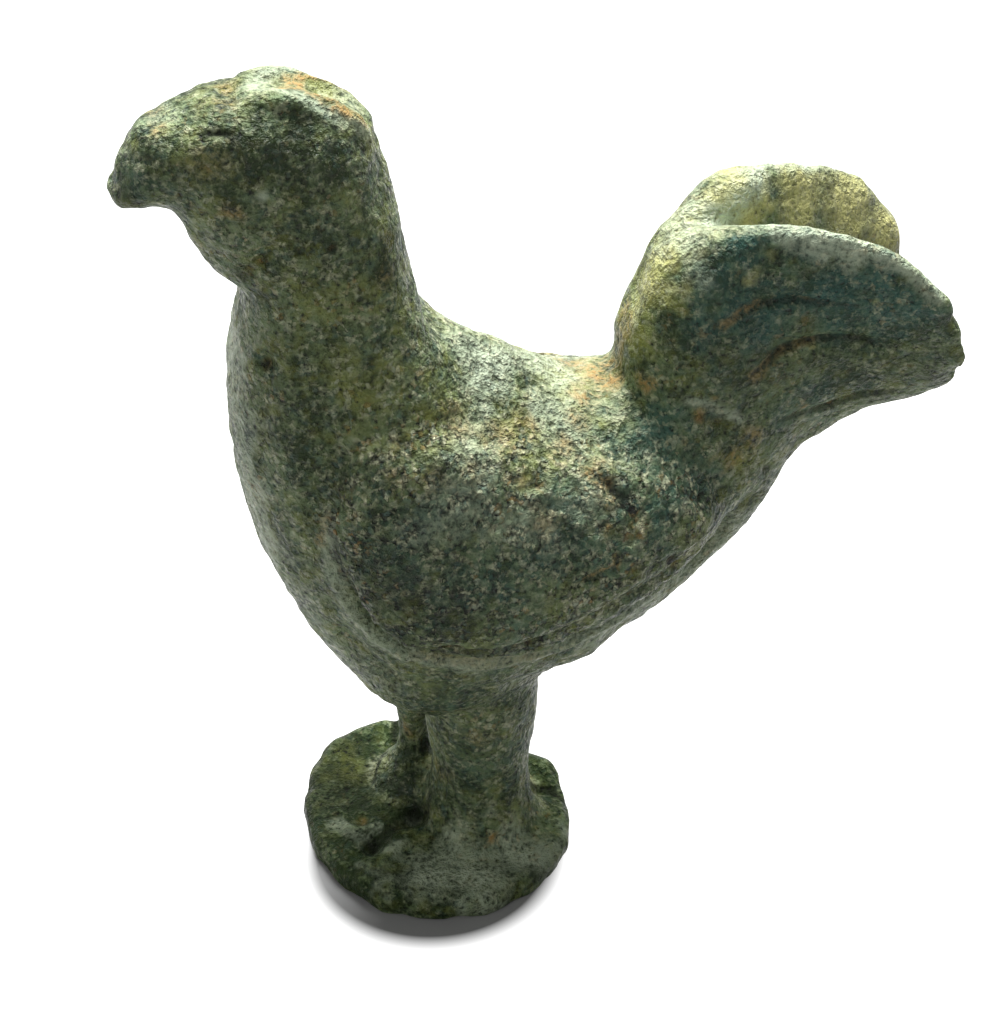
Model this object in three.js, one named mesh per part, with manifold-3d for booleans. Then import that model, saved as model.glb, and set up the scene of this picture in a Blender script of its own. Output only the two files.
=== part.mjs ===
// A small bronze cockerel on a round foot plate, in millimetres, +Z up. It faces -X, so its left side
// faces -Y. The origin is the middle of the foot plate's flat underside.
import * as THREE from "three";
import { mergeVertices } from "three/addons/utils/BufferGeometryUtils.js";
import Module from "manifold-3d";

// Driving dimensions
const SEAM = 0.25; // gap where two castings meet
const PLATE_RADIUS = 7.9;
const PLATE_THICKNESS = 1.4;
const PLATE_BEVEL = 0.4; // along its upper edge
const PLATE_FOOT_BEVEL = 0.15; // along its lower edge
const PLATE_SWELL = { reach: 1.3, heading: 122 }; // the rim bulges out here; degrees from +X towards +Y
const LEG_LENGTH = 8.6; // top of the foot plate to the lowest point of the belly
const BODY_LENGTH = 30.4; // breast to tail joint
const TORSO_DEPTH = 21.2; // belly to back
const TORSO_HALF = 7.5; // half the torso's width
const NECK_HEIGHT = 19.9; // back to crown
const TAIL_LENGTH = 18.6; // top of the tail joint to just past the tip
const TAIL_HEIGHT = 10; // top of the tail joint to just above the tail's highest point
const STANCE = { x: 0.15, y: 0.9 }; // how far the bird stands from the middle of the foot plate
const LEFT_LEG = { x: 2.3, y: -1.2, thigh: 3.6, shank: 3.0, foot: 3.8 }; // the stouter, behind the right one
const RIGHT_LEG = { x: -1.0, y: 2.4, thigh: 1.8, shank: 0.85, foot: 3.0 };
const FLARE_HEIGHT = 3.4; // the legs have no toes, they widen into the foot plate below this height
const THIGH_SEAT = 3.6; // how far a thigh's top lies above the lowest point of the belly
const TENON_RADIUS = 0.7;
const TENON_LENGTH = 2; // how far a tenon goes on above the thigh
const PEEN_RADIUS = 1.2; // spread end of the lower tenon
const PEEN_DEPTH = 0.6;
const PEEN_RECESS = 0.15; // how far that end lies above the underside of the foot plate
const WING_RISE = 1.3; // how far a wing stands out from the flank
const WING_SEAT = 0.9; // depth of the recess that it sits in
const PEG_RADIUS = 0.8;
const PEG_LENGTH = 1.6;
const COMB_RISE = 0.6;
const COMB_SEAT = 0.9;
const COMB_HALF = 1.8; // half the comb's width
const COMB_GROOVE = 0.3;
const COMB_TANG = { length: 3.4, half: 0.6, depth: 1.2 };
const TANG_LENGTH = 4.6; // how far a tail plate's tang reaches into the rump
const TANG_HEIGHT = 5;
const TANG_THICKNESS = 1.4;
const RIVET_RADIUS = 0.8;
const RIVET_DEPTH = 2.6; // from the tail joint to the rivet's axis
const FACETS = 20; // sides of a round hole, pin or leg
const RIM_FACETS = 48;
const OVERRUN = 1; // how far a cut runs on past a face, and a tang or tenon into its own piece

const PLATE_TOP = PLATE_THICKNESS;
const BELLY = PLATE_TOP + LEG_LENGTH;

// Places in the side view are [x, level]: x counts body lengths from the origin, and level runs from 0 at
// the belly over 1 at the back to 2 at the crown. The tail joint is where the rump ends.
const JOINT = { top: [0.347, 1], foot: [0.637, 0.59], half: 0.62 };

// Rungs of the body from the rump to the beak: half is the share of the torso's half width, widest is where
// along the rung it is widest, from the foot, and square is 2 for an ellipse and more for a boxier section.
const BODY_RUNGS = [
  { top: JOINT.top, foot: JOINT.foot, half: JOINT.half, widest: 0.5, square: 2.4 },
  { top: [0.275, 1.01], foot: [0.55, 0.445], half: 0.77, widest: 0.46, square: 2.2 },
  { top: [0.2, 1.05], foot: [0.42, 0.295], half: 0.88, widest: 0.44, square: 2.1 },
  { top: [0.13, 1.105], foot: [0.245, 0.165], half: 0.95, widest: 0.42, square: 2.1 },
  { top: [0.065, 1.155], foot: [0.065, 0.03], half: 1, widest: 0.42, square: 2.1 },
  { top: [0.03, 1.22], foot: [-0.095, 0.045], half: 0.99, widest: 0.44, square: 2.1 },
  { top: [0, 1.305], foot: [-0.205, 0.24], half: 0.95, widest: 0.46, square: 2.1 },
  { top: [-0.025, 1.405], foot: [-0.295, 0.505], half: 0.84, widest: 0.46, square: 2.2 },
  { top: [-0.045, 1.525], foot: [-0.345, 0.75], half: 0.72, widest: 0.48, square: 2.2 },
  { top: [-0.055, 1.645], foot: [-0.365, 1.01], half: 0.62, widest: 0.5, square: 2.3 },
  { top: [-0.07, 1.76], foot: [-0.355, 1.225], half: 0.57, widest: 0.52, square: 2.4 },
  { top: [-0.095, 1.85], foot: [-0.33, 1.405], half: 0.54, widest: 0.54, square: 2.5 },
  { top: [-0.14, 1.925], foot: [-0.335, 1.46], half: 0.53, widest: 0.56, square: 2.6 },
  { top: [-0.205, 1.975], foot: [-0.365, 1.525], half: 0.51, widest: 0.58, square: 2.6 },
  { top: [-0.28, 2], foot: [-0.395, 1.615], half: 0.47, widest: 0.6, square: 2.5 },
  { top: [-0.355, 1.995], foot: [-0.42, 1.69], half: 0.41, widest: 0.6, square: 2.4 },
  { top: [-0.42, 1.955], foot: [-0.445, 1.72], half: 0.32, widest: 0.58, square: 2.2 },
  { top: [-0.48, 1.895], foot: [-0.485, 1.72], half: 0.24, widest: 0.55, square: 2.0 },
  { top: [-0.515, 1.815], foot: [-0.515, 1.725], half: 0.15, widest: 0.5, square: 2.0 },
  { top: [-0.53, 1.765], foot: [-0.525, 1.735], half: 0.05, widest: 0.5, square: 2.0 },
];
const BODY_STEPS = 2; // sections for each rung
const BODY_SIDES = 32;

// A wing's outline in the side view, as [x, level, share of the wing's rise that its edge stands out].
const WING_OUTLINE = [
  [-0.185, 1.05, 0.35], [-0.215, 0.905, 0.55], [-0.205, 0.735, 0.65], [-0.145, 0.575, 0.65],
  [-0.025, 0.465, 0.65], [0.12, 0.425, 0.65], [0.275, 0.47, 0.55], [0.405, 0.565, 0.45],
  [0.5, 0.685, 0.25], [0.455, 0.8, 0.1], [0.355, 0.895, 0], [0.215, 0.965, 0], [0.065, 1.03, 0],
  [-0.08, 1.115, 0.1],
];
const WING_MIDDLE = [0.135, 0.695];
const WING_RINGS = 5;
const WING_RAYS = 32;

// Stations of the comb along the crown from its rear end to the forehead:
// along is the place on the body's top line, rise is the share of the comb's full height.
const COMB_STATIONS = [
  { along: 0.585, rise: 0.3 },
  { along: 0.62, rise: 0.8 },
  { along: 0.655, rise: 1 },
  { along: 0.69, rise: 1 },
  { along: 0.725, rise: 0.8 },
  { along: 0.755, rise: 0.3 },
];

// Rungs of the right tail plate from its root to its tip, as shares of the tail's length and height from the
// top of the tail joint. As shares of the torso's half width, lean is how far the plate's top edge and foot
// edge stand from the bird's middle plane, and half is half its thickness there.
const TAIL_RUNGS = [
  { top: [0, 0.26], foot: [0.53, -0.685], lean: [0, 0], half: [0.6, 0.54] },
  { top: [0.05, 0.57], foot: [0.59, -0.525], lean: [0, 0.02], half: [0.59, 0.48] },
  { top: [0.135, 0.83], foot: [0.66, -0.405], lean: [0.06, 0.12], half: [0.52, 0.38] },
  { top: [0.29, 0.965], foot: [0.73, -0.325], lean: [0.25, 0.24], half: [0.27, 0.26] },
  { top: [0.5, 0.985], foot: [0.805, -0.265], lean: [0.42, 0.34], half: [0.17, 0.19] },
  { top: [0.69, 0.9], foot: [0.875, -0.2], lean: [0.59, 0.45], half: [0.15, 0.15] },
  { top: [0.83, 0.71], foot: [0.935, -0.12], lean: [0.73, 0.54], half: [0.14, 0.14] },
  { top: [0.92, 0.46], foot: [0.975, -0.02], lean: [0.76, 0.6], half: [0.12, 0.13] },
  { top: [0.96, 0.3], foot: [0.985, 0.1], lean: [0.73, 0.66], half: [0.1, 0.1] },
];
const TAIL_SQUARE = 2.4;
const TAIL_STEPS = 2;
const TAIL_SIDES = 24;

const wasm = await Module();
wasm.setup();

// Turns a geometry into a solid that can be cut and joined.
function solidFrom(geometry) {
  const bare = new THREE.BufferGeometry();
  bare.setAttribute("position", geometry.attributes.position);
  bare.setIndex(geometry.index);
  const merged = mergeVertices(bare, 1e-4);
  return new wasm.Manifold(
    new wasm.Mesh({
      numProp: 3,
      vertProperties: merged.attributes.position.array,
      triVerts: new Uint32Array(merged.index.array),
    }),
  );
}

function geometryFrom(solid) {
  const mesh = solid.getMesh();
  const geometry = new THREE.BufferGeometry();
  geometry.setAttribute("position", new THREE.BufferAttribute(mesh.vertProperties, 3));
  geometry.setIndex(new THREE.BufferAttribute(mesh.triVerts, 1));
  geometry.computeVertexNormals();
  return geometry;
}

// The left-hand twin of a right-hand geometry.
function mirrored(geometry) {
  const twin = new THREE.BufferGeometry();
  twin.setAttribute("position", geometry.attributes.position.clone());
  twin.scale(1, -1, 1);
  twin.setIndex(Array.from(geometry.index.array).reverse());
  return twin;
}

// A closed loft. Each section runs anticlockwise when seen from the loft's end, and is closed by a fan.
function loft(sections) {
  const sides = sections[0].length;
  const middleOf = (section) => {
    const sum = section.reduce((total, point) => total.add(point), new THREE.Vector3());
    return sum.divideScalar(sides);
  };
  const points = [...sections.flat(), middleOf(sections[0]), middleOf(sections.at(-1))];
  const lastRing = (sections.length - 1) * sides;
  const startMiddle = points.length - 2;
  const endMiddle = points.length - 1;
  const faces = [];
  for (let j = 0; j < sides; j++) {
    const next = (j + 1) % sides;
    for (let ring = 0; ring < lastRing; ring += sides) {
      faces.push(ring + j, ring + next, ring + sides + next);
      faces.push(ring + j, ring + sides + next, ring + sides + j);
    }
    faces.push(startMiddle, next, j);
    faces.push(endMiddle, lastRing + j, lastRing + next);
  }
  return new THREE.BufferGeometry().setFromPoints(points).setIndex(faces);
}

// A round pin, or a cone, between two points.
function pin(from, to, radiusFrom, radiusTo = radiusFrom) {
  const axis = to.clone().sub(from);
  const geometry = new THREE.CylinderGeometry(radiusTo, radiusFrom, axis.length(), FACETS);
  const turn = new THREE.Quaternion().setFromUnitVectors(THREE.Object3D.DEFAULT_UP, axis.normalize());
  geometry.applyQuaternion(turn);
  geometry.translate(...from.clone().lerp(to, 0.5).toArray());
  return geometry;
}

const curveThrough = (points) => new THREE.CatmullRomCurve3(points, false, "catmullrom", 0.5);
const bend = (value, power) => Math.sign(value) * Math.abs(value) ** power;

function sidePoint([x, level]) {
  const height = TORSO_DEPTH * Math.min(level, 1) + NECK_HEIGHT * Math.max(level - 1, 0);
  return new THREE.Vector3(BODY_LENGTH * x, 0, BELLY + height);
}

// The body's skin: along runs from 0 at the rump to 1 at the beak, and angle runs round the section
// from 0 on the right flank, over the back at a quarter turn, to the left flank at a half turn.
const bodyTop = curveThrough(BODY_RUNGS.map((rung) => sidePoint(rung.top)));
const bodyFoot = curveThrough(BODY_RUNGS.map((rung) => sidePoint(rung.foot)));
const girthOf = ({ half, widest, square }) => new THREE.Vector3(half * TORSO_HALF, widest, square);
const bodyGirth = curveThrough(BODY_RUNGS.map(girthOf));

function bodyPoint(along, angle) {
  const [half, widest, square] = bodyGirth.getPoint(along).toArray();
  const level = bend(Math.sin(angle), 2 / square);
  const share = level < 0 ? widest * (1 + level) : widest + (1 - widest) * level;
  const point = bodyFoot.getPoint(along).lerp(bodyTop.getPoint(along), share);
  point.y = half * bend(Math.cos(angle), 2 / square);
  return point;
}

function bodyNormal(along, angle) {
  const step = 1e-3;
  const forward = bodyPoint(along + step, angle).sub(bodyPoint(along - step, angle));
  const round = bodyPoint(along, angle + step).sub(bodyPoint(along, angle - step));
  return forward.cross(round).normalize();
}

const FLANK_END = 0.7; // the wings lie between the rump and here along the body
const HALVINGS = 40;

// The place on the right flank that is seen from the side at (x, z).
function flankPlace(x, z) {
  let low = 0;
  let high = FLANK_END;
  let foot;
  let rung;
  for (let halving = 0; halving < HALVINGS; halving++) {
    const middle = (low + high) / 2;
    foot = bodyFoot.getPoint(middle);
    rung = bodyTop.getPoint(middle).sub(foot);
    if (rung.x * (z - foot.z) > rung.z * (x - foot.x)) {
      low = middle;
    } else {
      high = middle;
    }
  }
  const share = new THREE.Vector3(x, 0, z).sub(foot).dot(rung) / rung.lengthSq();
  const [, widest, square] = bodyGirth.getPoint(low).toArray();
  const level = share < widest ? share / widest - 1 : (share - widest) / (1 - widest);
  return { along: low, angle: Math.asin(bend(level, square / 2)) };
}

function bodyShell() {
  const count = (BODY_RUNGS.length - 1) * BODY_STEPS;
  const sections = [];
  for (let i = 0; i <= count; i++) {
    const section = [];
    for (let j = 0; j < BODY_SIDES; j++) {
      section.push(bodyPoint(i / count, (-2 * Math.PI * j) / BODY_SIDES));
    }
    sections.push(section);
  }
  return loft(sections);
}

// A wing is a shell on the flank, let into a recess. The recess is the same form, grown by the seam.
function wingShell(growth, cover) {
  const edge = new THREE.CatmullRomCurve3(
    WING_OUTLINE.map(([x, level, rise]) => sidePoint([x, level]).setY(rise * WING_RISE)),
    true,
    "catmullrom",
    0.5,
  );
  const middle = sidePoint(WING_MIDDLE);
  const ring = (reach, depthAt) => {
    const section = [];
    for (let j = 0; j < WING_RAYS; j++) {
      const rim = edge.getPoint(1 - j / WING_RAYS);
      const spoke = rim.clone().sub(middle).setY(0);
      const spot = spoke.clone().setLength(reach * (spoke.length() + growth)).add(middle);
      const place = flankPlace(spot.x, spot.z);
      const point = bodyPoint(place.along, place.angle);
      section.push(point.addScaledVector(bodyNormal(place.along, place.angle), depthAt(rim.y)));
    }
    return section;
  };
  const sections = [];
  for (let k = 1; k <= WING_RINGS; k++) {
    sections.push(ring(k / WING_RINGS, () => -WING_SEAT - growth));
  }
  for (let k = WING_RINGS; k >= 1; k--) {
    const reach = k / WING_RINGS;
    sections.push(ring(reach, (rise) => rise + (WING_RISE - rise) * (1 - reach ** 4) + cover));
  }
  return loft(sections);
}

const wingPegAxis = () => {
  const place = flankPlace(sidePoint(WING_MIDDLE).x, sidePoint(WING_MIDDLE).z);
  return { spot: bodyPoint(place.along, place.angle), inward: bodyNormal(place.along, place.angle).negate() };
};

function wingPeg(growth) {
  const { spot, inward } = wingPegAxis();
  const start = spot.clone().addScaledVector(inward, WING_SEAT / 2);
  const end = spot.clone().addScaledVector(inward, WING_SEAT + PEG_LENGTH + growth);
  return pin(start, end, PEG_RADIUS + growth);
}

// The comb follows the crown. Its slot is the same form, grown by the seam and open above.
function combRidge(growth, cover) {
  const last = COMB_STATIONS.length - 1;
  const sections = COMB_STATIONS.map(({ along, rise }, index) => {
    const heading = bodyTop.getTangent(along);
    const up = new THREE.Vector3(heading.z, 0, -heading.x);
    const shift = index === 0 ? -growth : index === last ? growth : 0;
    const centre = bodyTop.getPoint(along).addScaledVector(heading, shift);
    const height = rise * COMB_RISE;
    const side = COMB_HALF + growth;
    const floor = -COMB_SEAT - growth;
    const profile = [
      [-side, floor],
      [-side, height / 2 + cover],
      [-side * 0.75, height + cover],
      [0, height - COMB_GROOVE * rise + cover],
      [side * 0.75, height + cover],
      [side, height / 2 + cover],
      [side, floor],
    ];
    return profile.map(([y, level]) => centre.clone().addScaledVector(up, level).setY(y));
  });
  return loft(sections);
}

function combTang(growth) {
  const along = COMB_STATIONS[Math.floor(COMB_STATIONS.length / 2)].along;
  const heading = bodyTop.getTangent(along);
  const down = new THREE.Vector3(-heading.z, 0, heading.x);
  const height = COMB_SEAT / 2 + COMB_TANG.depth + growth;
  const tang = new THREE.BoxGeometry(COMB_TANG.length + 2 * growth, 2 * (COMB_TANG.half + growth), height);
  const across = new THREE.Vector3(0, 1, 0);
  tang.applyMatrix4(new THREE.Matrix4().makeBasis(heading.clone().negate(), across, down.clone().negate()));
  const centre = bodyTop.getPoint(along).addScaledVector(down, COMB_SEAT / 2 + height / 2);
  return tang.translate(...centre.toArray());
}

// The tail joint's own directions.
const jointTop = sidePoint(JOINT.top);
const jointFoot = sidePoint(JOINT.foot);
const jointMiddle = jointTop.clone().lerp(jointFoot, 0.5);
const rumpHalf = JOINT.half * TORSO_HALF;
const jointLine = jointFoot.clone().sub(jointTop).normalize();
const intoRump = new THREE.Vector3(jointLine.z, 0, -jointLine.x);

// A block in the joint's directions, reaching from one depth to another behind the joint.
function jointBlock(from, to, inner, outer, height) {
  const block = new THREE.BoxGeometry(to - from, outer - inner, height);
  const up = intoRump.clone().cross(new THREE.Vector3(0, 1, 0));
  block.applyMatrix4(new THREE.Matrix4().makeBasis(intoRump, new THREE.Vector3(0, 1, 0), up));
  const centre = jointMiddle.clone().addScaledVector(intoRump, (from + to) / 2);
  return block.translate(centre.x, (inner + outer) / 2, centre.z);
}

function rivet(growth, half) {
  const centre = jointMiddle.clone().addScaledVector(intoRump, RIVET_DEPTH);
  return pin(centre.clone().setY(-half), centre.clone().setY(half), RIVET_RADIUS + growth);
}

// The rivet ends just inside the floor of the recesses under the wings.
function rivetHalf() {
  const centre = jointMiddle.clone().addScaledVector(intoRump, RIVET_DEPTH);
  const place = flankPlace(centre.x, centre.z);
  return bodyPoint(place.along, place.angle).y - 2 * WING_SEAT;
}

function tailPlate() {
  const clear = intoRump.clone().multiplyScalar(-SEAM);
  const tailPoint = ([x, z]) => new THREE.Vector3(TAIL_LENGTH * x, 0, TAIL_HEIGHT * z).add(jointTop);
  const root = { lean: [0, 0], half: [JOINT.half, JOINT.half] };
  const rungs = [root, ...TAIL_RUNGS];
  const edge = (start, key) => [start.clone().add(clear), ...TAIL_RUNGS.map((rung) => tailPoint(rung[key]))];
  const tops = curveThrough(edge(jointTop, "top"));
  const feet = curveThrough(edge(jointFoot, "foot"));
  const girth = (end) => ({ lean, half }) => new THREE.Vector3(lean[end], half[end], 0);
  const topGirth = curveThrough(rungs.map(girth(0)));
  const footGirth = curveThrough(rungs.map(girth(1)));
  const count = TAIL_RUNGS.length * TAIL_STEPS;
  const sections = [];
  for (let i = 0; i <= count; i++) {
    const along = i / count;
    const section = [];
    for (let j = 0; j < TAIL_SIDES; j++) {
      const angle = (2 * Math.PI * j) / TAIL_SIDES;
      const share = (1 + bend(Math.sin(angle), 2 / TAIL_SQUARE)) / 2;
      const [lean, half] = footGirth.getPoint(along).lerp(topGirth.getPoint(along), share).toArray();
      const point = feet.getPoint(along).lerp(tops.getPoint(along), share);
      const y = TORSO_HALF * (lean + half * bend(Math.cos(angle), 2 / TAIL_SQUARE));
      section.push(point.setY(Math.max(y, SEAM / 2)));
    }
    sections.push(section);
  }
  const tang = jointBlock(-OVERRUN, TANG_LENGTH, SEAM / 2, SEAM / 2 + TANG_THICKNESS, TANG_HEIGHT);
  const whole = solidFrom(loft(sections)).add(solidFrom(tang));
  return geometryFrom(whole.subtract(solidFrom(rivet(SEAM, 2 * rumpHalf))));
}

const FLARE_STEPS = [0, 0.15, 0.35, 0.65, 1];

// Above the flare: the height as a share of the leg's length, and how far the leg has swollen to its thigh.
const THIGH_STEPS = [[0.6, 0], [0.8, 0.35], [1, 0.75]];

// A leg is one loft from the foot to the thigh, with a tenon at its top. Grown, it cuts its own socket.
function legSolid({ x, y, thigh, shank, foot }, growth) {
  const sole = PLATE_TOP + SEAM;
  const levels = FLARE_STEPS.map((share) => ({
    z: sole + FLARE_HEIGHT * share,
    radius: shank + (foot - shank) * (1 - share) ** 2,
  }));
  for (const [share, swelling] of THIGH_STEPS) {
    levels.push({ z: PLATE_TOP + LEG_LENGTH * share, radius: shank + (thigh - shank) * swelling });
  }
  levels.push({ z: BELLY + THIGH_SEAT + growth, radius: thigh });
  const sections = levels.map(({ z, radius }) => {
    const section = [];
    for (let j = 0; j < FACETS; j++) {
      const angle = (2 * Math.PI * j) / FACETS;
      const reach = radius + growth;
      section.push(new THREE.Vector3(x + reach * Math.cos(angle), y + reach * Math.sin(angle), z));
    }
    return section;
  });
  const at = (z) => new THREE.Vector3(x, y, z);
  const upper = pin(at(BELLY), at(BELLY + THIGH_SEAT + TENON_LENGTH + growth), TENON_RADIUS + growth);
  return solidFrom(loft(sections)).add(solidFrom(upper));
}

// The lower tenon and its spread end. Grown, it is the countersunk hole that they sit in.
function lowerTenon({ x, y }, growth) {
  const at = (z) => new THREE.Vector3(x, y, z);
  const spreadTop = PEEN_RECESS + PEEN_DEPTH;
  const shaft = solidFrom(pin(at(PEEN_RECESS), at(PLATE_TOP + OVERRUN), TENON_RADIUS + growth));
  const spread = pin(at(PEEN_RECESS), at(spreadTop), PEEN_RADIUS + growth, TENON_RADIUS + growth);
  return shaft.add(solidFrom(spread));
}

const wholeLeg = (leg) => legSolid(leg, 0).add(lowerTenon(leg, 0));

// The right foot is cut away where the left one spreads into it.
const rightLeg = () => wholeLeg(RIGHT_LEG).subtract(legSolid(LEFT_LEG, SEAM));

function countersunkHole(leg) {
  const at = (z) => new THREE.Vector3(leg.x, leg.y, z);
  return lowerTenon(leg, SEAM).add(solidFrom(pin(at(-OVERRUN), at(PEEN_RECESS), PEEN_RADIUS + SEAM)));
}

function footPlate() {
  const swelling = (angle) => Math.max(0, Math.cos(angle - THREE.MathUtils.degToRad(PLATE_SWELL.heading)));
  const ring = (inset, z) => {
    const section = [];
    for (let j = 0; j < RIM_FACETS; j++) {
      const angle = (2 * Math.PI * j) / RIM_FACETS;
      const reach = PLATE_RADIUS - inset + PLATE_SWELL.reach * swelling(angle) ** 4;
      const rim = new THREE.Vector3(reach * Math.cos(angle), reach * Math.sin(angle), z);
      section.push(rim.sub(new THREE.Vector3(STANCE.x, STANCE.y, 0)));
    }
    return section;
  };
  const disc = loft([
    ring(PLATE_FOOT_BEVEL, 0),
    ring(0, PLATE_FOOT_BEVEL),
    ring(0, PLATE_THICKNESS - PLATE_BEVEL),
    ring(PLATE_BEVEL, PLATE_THICKNESS),
  ]);
  return [LEFT_LEG, RIGHT_LEG].reduce((plate, leg) => plate.subtract(countersunkHole(leg)), solidFrom(disc));
}

function bodyCasting() {
  const mortiseHalf = SEAM / 2 + TANG_THICKNESS + SEAM;
  const mortiseDepth = TANG_LENGTH + SEAM;
  const mortise = jointBlock(-OVERRUN, mortiseDepth, -mortiseHalf, mortiseHalf, TANG_HEIGHT + 2 * SEAM);
  const recess = wingShell(SEAM, OVERRUN);
  const pegHole = wingPeg(SEAM);
  const cuts = [recess, mirrored(recess), pegHole, mirrored(pegHole), mortise].map(solidFrom);
  cuts.push(solidFrom(rivet(SEAM, 2 * rumpHalf)));
  cuts.push(solidFrom(combRidge(SEAM, OVERRUN)));
  cuts.push(solidFrom(combTang(SEAM)));
  cuts.push(legSolid(LEFT_LEG, SEAM));
  cuts.push(legSolid(RIGHT_LEG, SEAM));
  return cuts.reduce((solid, cut) => solid.subtract(cut), solidFrom(bodyShell()));
}

const METALNESS = 0.25; // corrosion hides most of the metal
const patina = (color, roughness) =>
  new THREE.MeshStandardMaterial({ color, roughness, metalness: METALNESS });
const PATINA_BODY = patina(0x5f7258, 0.75);
const PATINA_COMB = patina(0x9a8f5c, 0.85);
const PATINA_WING = patina(0x4c6657, 0.7);
const PATINA_TAIL = patina(0x4a6a62, 0.75);
const PATINA_LEG = patina(0x516550, 0.75);
const PATINA_PLATE = patina(0x3f5544, 0.65);
const BARE_BRONZE = patina(0x8a6a3a, 0.5);

const figure = new THREE.Group();

// The pieces are made round the bird's own middle plane, and set down round the middle of the foot plate.
function addPiece(name, geometry, material) {
  const piece = new THREE.Mesh(geometry.clone().translate(STANCE.x, STANCE.y, 0), material.clone());
  piece.name = name;
  figure.add(piece);
}

const wing = geometryFrom(solidFrom(wingShell(0, 0)).add(solidFrom(wingPeg(0))));
const plate = tailPlate();

addPiece("body", geometryFrom(bodyCasting()), PATINA_BODY);
addPiece("comb", geometryFrom(solidFrom(combRidge(0, 0)).add(solidFrom(combTang(0)))), PATINA_COMB);
addPiece("wing_left", mirrored(wing), PATINA_WING);
addPiece("wing_right", wing, PATINA_WING);
addPiece("tail_left", mirrored(plate), PATINA_TAIL);
addPiece("tail_right", plate, PATINA_TAIL);
addPiece("tail_rivet", rivet(0, rivetHalf()), BARE_BRONZE);
addPiece("leg_left", geometryFrom(wholeLeg(LEFT_LEG)), PATINA_LEG);
addPiece("leg_right", geometryFrom(rightLeg()), PATINA_LEG);
addPiece("foot_plate", geometryFrom(footPlate()), PATINA_PLATE);

export default figure;
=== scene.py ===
import math

import bpy
import numpy as np
from mathutils import Matrix, Vector
from mathutils.bvhtree import BVHTree


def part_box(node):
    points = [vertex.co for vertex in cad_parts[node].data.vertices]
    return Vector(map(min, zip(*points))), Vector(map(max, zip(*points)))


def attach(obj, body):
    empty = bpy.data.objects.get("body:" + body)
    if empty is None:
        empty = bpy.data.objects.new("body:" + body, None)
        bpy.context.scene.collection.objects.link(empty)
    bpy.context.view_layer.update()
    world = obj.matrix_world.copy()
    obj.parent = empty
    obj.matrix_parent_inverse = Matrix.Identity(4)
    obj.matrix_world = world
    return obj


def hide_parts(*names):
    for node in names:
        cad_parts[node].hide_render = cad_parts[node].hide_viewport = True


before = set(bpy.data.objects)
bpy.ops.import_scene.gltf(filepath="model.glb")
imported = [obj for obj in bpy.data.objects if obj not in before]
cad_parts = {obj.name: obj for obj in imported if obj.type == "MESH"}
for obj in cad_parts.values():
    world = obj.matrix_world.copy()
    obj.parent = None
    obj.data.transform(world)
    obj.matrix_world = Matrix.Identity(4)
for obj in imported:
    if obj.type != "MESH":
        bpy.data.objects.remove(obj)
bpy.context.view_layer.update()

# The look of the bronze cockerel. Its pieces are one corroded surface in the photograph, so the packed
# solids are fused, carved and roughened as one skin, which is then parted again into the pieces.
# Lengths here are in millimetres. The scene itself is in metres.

MM = 0.001

# Camera
PHOTO_WIDTH = 1000
PHOTO_HEIGHT = 1013
FOCAL_PIXELS = 2500
TURN = math.radians(-14)
PITCH = math.radians(36.7)
AIM = Vector((0, 0, 1.5))
AIM_PIXEL = (440.5, 809)
AIM_DISTANCE = 154.5
SENSOR_HEIGHT = 36
CLIP_START = 0.001  # metres

# Skin. Spreads, melts and rounds count steps of smoothing.
SWELL = 0.18  # closes the seams between the solids before they are fused
VOXEL = 0.16
WELD_DIGITS = 4
MELT_ROUNDS = 12
OWNER_SPREAD = 10
SEAM_SPREAD = 20
SEAM_ROUNDS = 50
CREASES_KEPT = {"comb": 0.8}  # the share of its creases that a piece keeps
HIDDEN_NODES = ("tail_rivet",)
PIECES = {
    "body": "patina_body",
    "comb": "patina_comb",
    "wing_left": "patina_wing",
    "wing_right": "patina_wing",
    "tail_left": "patina_tail",
    "tail_right": "patina_tail",
    "leg_left": "patina_leg",
    "leg_right": "patina_leg",
    "foot_plate": "patina_plate",
}
GRAIN = {  # how coarse each piece's surface is, from 0 to 1
    "body": 0.5,
    "comb": 0.25,
    "wing_left": 1.0,
    "wing_right": 1.0,
    "tail_left": 0.4,
    "tail_right": 0.4,
    "leg_left": 0.5,
    "leg_right": 0.4,
    "foot_plate": 0.2,
}
CARVE_SPREAD = 8
CARVE_MELT = 3
GRAIN_SPREAD = 12
ROUGH_SPREAD = 2
TWIN_FLOOR = 9  # above here both flanks show the same features
CAP_DEPTH = 0.7  # how far a piece's hidden face lies under the skin
MIDDLE = sum(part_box("comb")[end].y for end in (0, 1)) / 2 / MM  # the bird's own middle plane


# The camera first, because features are placed by pixels of its picture.

def camera_axes():
    ahead = Vector((-math.sin(TURN) * math.cos(PITCH), math.cos(TURN) * math.cos(PITCH), -math.sin(PITCH)))
    right = Vector((math.cos(TURN), math.sin(TURN), 0))
    return right, right.cross(ahead), ahead


def pixel_ray(pixel):
    right, up, ahead = camera_axes()
    x = (pixel[0] - PHOTO_WIDTH / 2) / FOCAL_PIXELS
    y = (pixel[1] - PHOTO_HEIGHT / 2) / FOCAL_PIXELS
    return (ahead + right * x - up * y).normalized()


EYE = AIM - pixel_ray(AIM_PIXEL) * AIM_DISTANCE


def pixels_of(points):
    """Where points fall in the camera's picture."""
    right, up, ahead = (np.array(axis) for axis in camera_axes())
    from_eye = points - np.array(EYE)
    depth = from_eye @ ahead
    x = PHOTO_WIDTH / 2 + FOCAL_PIXELS * (from_eye @ right) / depth
    y = PHOTO_HEIGHT / 2 - FOCAL_PIXELS * (from_eye @ up) / depth
    return np.stack([x, y], 1)


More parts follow.
